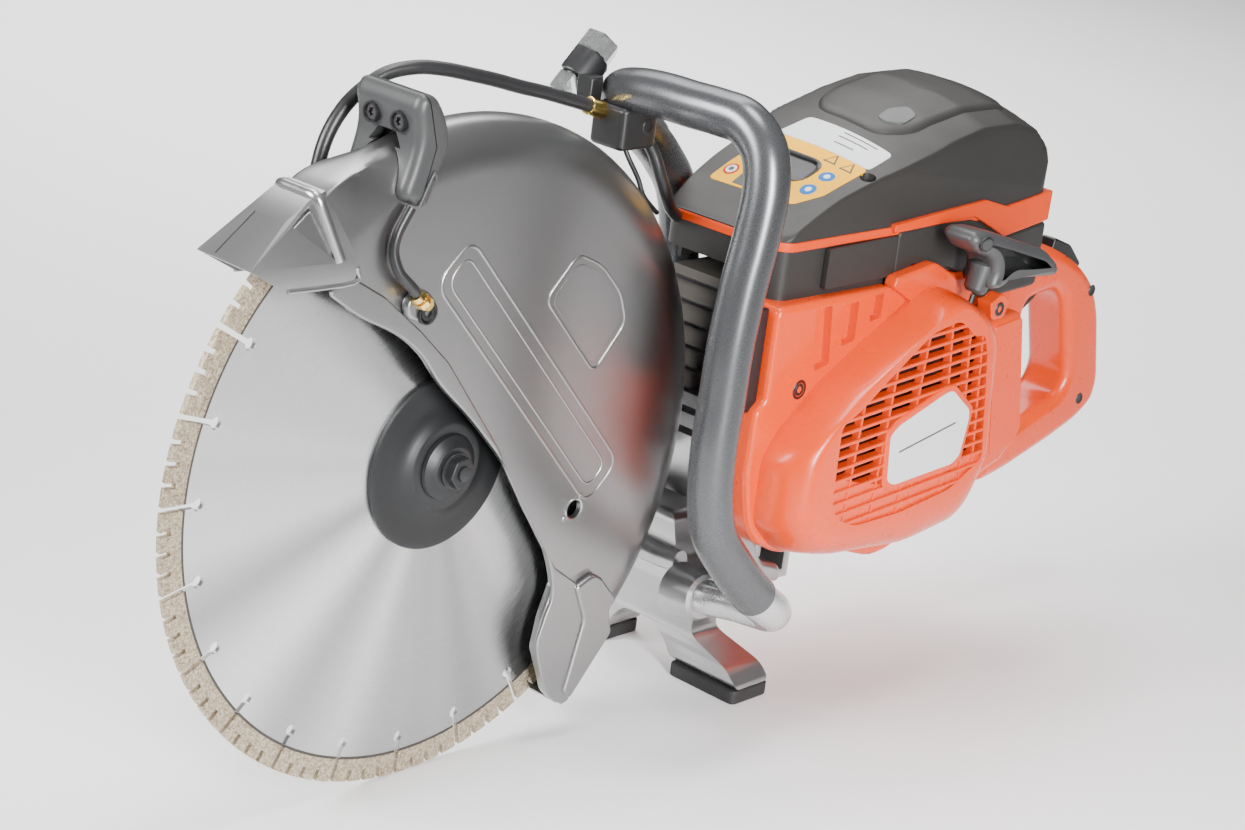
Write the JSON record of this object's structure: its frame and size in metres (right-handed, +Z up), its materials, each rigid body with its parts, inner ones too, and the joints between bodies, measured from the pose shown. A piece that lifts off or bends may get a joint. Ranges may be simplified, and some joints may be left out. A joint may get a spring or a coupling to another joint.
{
  "type": "power cutter",
  "caption": "Petrol hand-held power cutter with a large diamond blade, tilting blade guard, belt arm, tube front handle, recoil starter and looped rear handle.",
  "frame": {"origin": "on the ground under the middle of the machine, with the blade rim and both front foot pads on the ground", "axes": "+X to the rear handle, +Z up, -Y to the starter side (operator's left)"},
  "size_m": [0.8248, 0.2322, 0.4365],
  "materials": {
    "blade_steel": "ground steel disc with bronze diamond segments",
    "dark_steel": "black oxide steel",
    "bright_steel": "machined steel",
    "guard_casting": "silver grey lacquered magnesium",
    "bare_casting": "cast aluminium",
    "grey_plastic": "dark warm grey moulded nylon",
    "black_plastic": "black moulded plastic",
    "orange_plastic": "glossy orange moulded plastic",
    "tube_lacquer": "satin dark grey lacquer on aluminium tube",
    "rubber": "black rubber",
    "brass": "brass",
    "zinc": "zinc plated steel",
    "label_white": "white label plate",
    "filter_media": "pleated paper"
  },
  "bodies": {
    "chassis": {"spindle_bearing_left": "bright_steel", "spindle_bearing_right": "bright_steel", "cutting_arm": "bare_casting", "drive_belt": "rubber", "belt_guard": "grey_plastic", "water_hose": "rubber", "front_handle": "tube_lacquer", "handle_elbow": "bare_casting", "handle_strut": "tube_lacquer", "handle_clamp": "black_plastic", "foot_bracket": "bare_casting", "foot_pad_left": "rubber", "foot_pad_right": "rubber", "crankcase": "bare_casting", "piston": "bare_casting", "cylinder": "dark_steel", "spark_plug": "label_white", "ignition_module": "black_plastic", "recoil_spring": "bright_steel", "starter_housing": "orange_plastic", "label_plate": "label_white", "cylinder_cover": "grey_plastic", "side_cover": "grey_plastic", "trim_stripe": "orange_plastic", "top_cover": "grey_plastic", "muffler": "dark_steel", "muffler_guard": "black_plastic", "carburettor": "bare_casting", "air_filter": "filter_media", "fuel_tank": "orange_plastic", "rear_handle": "orange_plastic"},
    "blade_spindle_group": {"blade": "blade_steel", "outer_flange": "dark_steel", "inner_flange": "dark_steel", "arbor_washer": "dark_steel", "arbor_bolt": "dark_steel", "blade_spindle": "bright_steel", "driven_pulley": "bare_casting", "pulley_nut": "zinc"},
    "guard": {"blade_guard": "guard_casting", "guard_grip": "grey_plastic", "nozzle_left": "black_plastic", "nozzle_right": "black_plastic", "nozzle_barb_left": "brass", "feed_hose_left": "rubber"},
    "clutch_drum": {"clutch_drum": "dark_steel"},
    "crank": {"crankshaft": "bright_steel", "flywheel": "bare_casting", "clutch_hub": "dark_steel"},
    "conrod": {"conrod": "bright_steel"},
    "starter_reel": {"starter_pulley": "black_plastic"},
    "starter_grip": {"starter_handle": "grey_plastic", "starter_rope": "rubber"},
    "trigger": {"throttle_trigger": "black_plastic"},
    "lockout": {"trigger_lockout": "black_plastic"},
    "stop_switch": {"stop_switch": "black_plastic"},
    "choke": {"choke_lever": "black_plastic"},
    "decompression": {"decompression_valve": "black_plastic"},
    "tank_cap": {"tank_cap": "black_plastic"},
    "wrench": {"wrench": "zinc"}
  },
  "joints": [
    {"name": "blade_spin", "type": "hinge", "parent": "chassis", "child": "blade_spindle_group", "pos_m": [-0.21257, -0.00192, 0.2003], "axis": [0, 1, 0], "continuous": true},
    {"name": "drum_spin", "type": "hinge", "parent": "chassis", "child": "clutch_drum", "pos_m": [0.11243, 0.06808, 0.1883], "axis": [0, 1, 0], "continuous": true},
    {"name": "crank_spin", "type": "hinge", "parent": "chassis", "child": "crank", "pos_m": [0.11243, -0.00192, 0.1883], "axis": [0, 1, 0], "continuous": true},
    {"name": "conrod_turn", "type": "hinge", "parent": "crank", "child": "conrod", "pos_m": [0.11243, -0.00192, 0.2073], "axis": [0, 1, 0], "continuous": true},
    {"name": "guard_tilt", "type": "hinge", "parent": "chassis", "child": "guard", "pos_m": [-0.21257, -0.00192, 0.2003], "axis": [0, 1, 0], "range_deg": [-55, 0], "deforming": ["water_hose"]},
    {"name": "starter_pull", "type": "slide", "parent": "chassis", "child": "starter_grip", "axis": [0.2812, 0, 0.9597], "range_m": [0, 0.045], "stiffness_N_per_m": 150, "springref_m": -0.02},
    {"name": "reel_turn", "type": "hinge", "parent": "chassis", "child": "starter_reel", "pos_m": [0.11243, -0.08992, 0.1883], "axis": [0, -1, 0], "range_deg": [0, 130]},
    {"name": "trigger_squeeze", "type": "hinge", "parent": "chassis", "child": "trigger", "pos_m": [0.32843, -0.03692, 0.2473], "axis": [0, 1, 0], "range_deg": [0, 10], "stiffness_Nm_per_rad": 0.4, "springref_deg": -5.73},
    {"name": "lockout_press", "type": "hinge", "parent": "chassis", "child": "lockout", "pos_m": [0.34043, -0.03692, 0.2703], "axis": [0, 1, 0], "range_deg": [0, 8], "stiffness_Nm_per_rad": 0.3, "springref_deg": -5.73},
    {"name": "stop_slide", "type": "slide", "parent": "chassis", "child": "stop_switch", "axis": [1, 0, 0], "range_m": [0, 0.005]},
    {"name": "choke_pull", "type": "slide", "parent": "chassis", "child": "choke", "axis": [0, 1, 0], "range_m": [0, 0.012]},
    {"name": "decompression_press", "type": "slide", "parent": "chassis", "child": "decompression", "axis": [0, 0, -1], "range_m": [0, 0.004], "stiffness_N_per_m": 300, "springref_m": -0.001},
    {"name": "cap_turn", "type": "hinge", "parent": "chassis", "child": "tank_cap", "pos_m": [0.23343, 0.04808, 0.1883], "axis": [0, 1, 0], "range_deg": [0, 90]},
    {"name": "wrench_unclip", "type": "slide", "parent": "chassis", "child": "wrench", "axis": [0, 1, 0], "range_m": [0, 0.03]}
  ],
  "couplings": [
    {"joint": "drum_spin", "follows": "blade_spin", "ratio": 1.9167},
    {"joint": "conrod_turn", "follows": "crank_spin", "ratio": -1},
    {"joint": "reel_turn", "follows": "starter_pull", "rad_per_m": 50}
  ]
}
